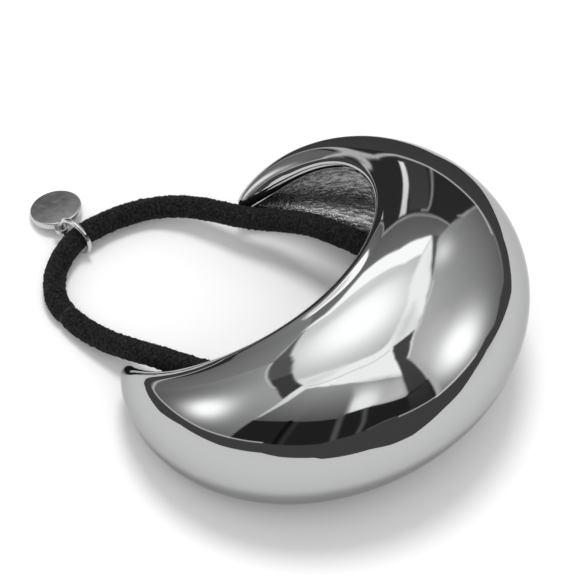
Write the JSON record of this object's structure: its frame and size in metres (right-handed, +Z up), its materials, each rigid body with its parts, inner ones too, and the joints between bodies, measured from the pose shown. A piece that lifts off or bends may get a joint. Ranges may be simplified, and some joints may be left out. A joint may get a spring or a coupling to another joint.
{
  "type": "ponytail cuff",
  "caption": "Hollow domed metal cuff, open on one side, that covers a ponytail's base; a knitted elastic loop with a disc charm on a jump ring holds it on.",
  "frame": {"origin": "on the table, under the middle of the metal cuff's box as it rests on its side", "axes": "+X towards the dome, +Y along the cuff's longest side from tip to tip, +Z up from the table"},
  "size_m": [0.0931, 0.0718, 0.0359],
  "materials": {
    "polished_shell": "mirror polished outside, as cast inside",
    "knitted_elastic": "fine crosswise knit, matt",
    "plated_wire": "polished",
    "plated_charm": "polished"
  },
  "bodies": {
    "root": {"cuff_shell": "polished_shell", "elastic_loop": "knitted_elastic", "jump_ring": "plated_wire", "charm_disc": "plated_charm"}
  },
  "joints": []
}
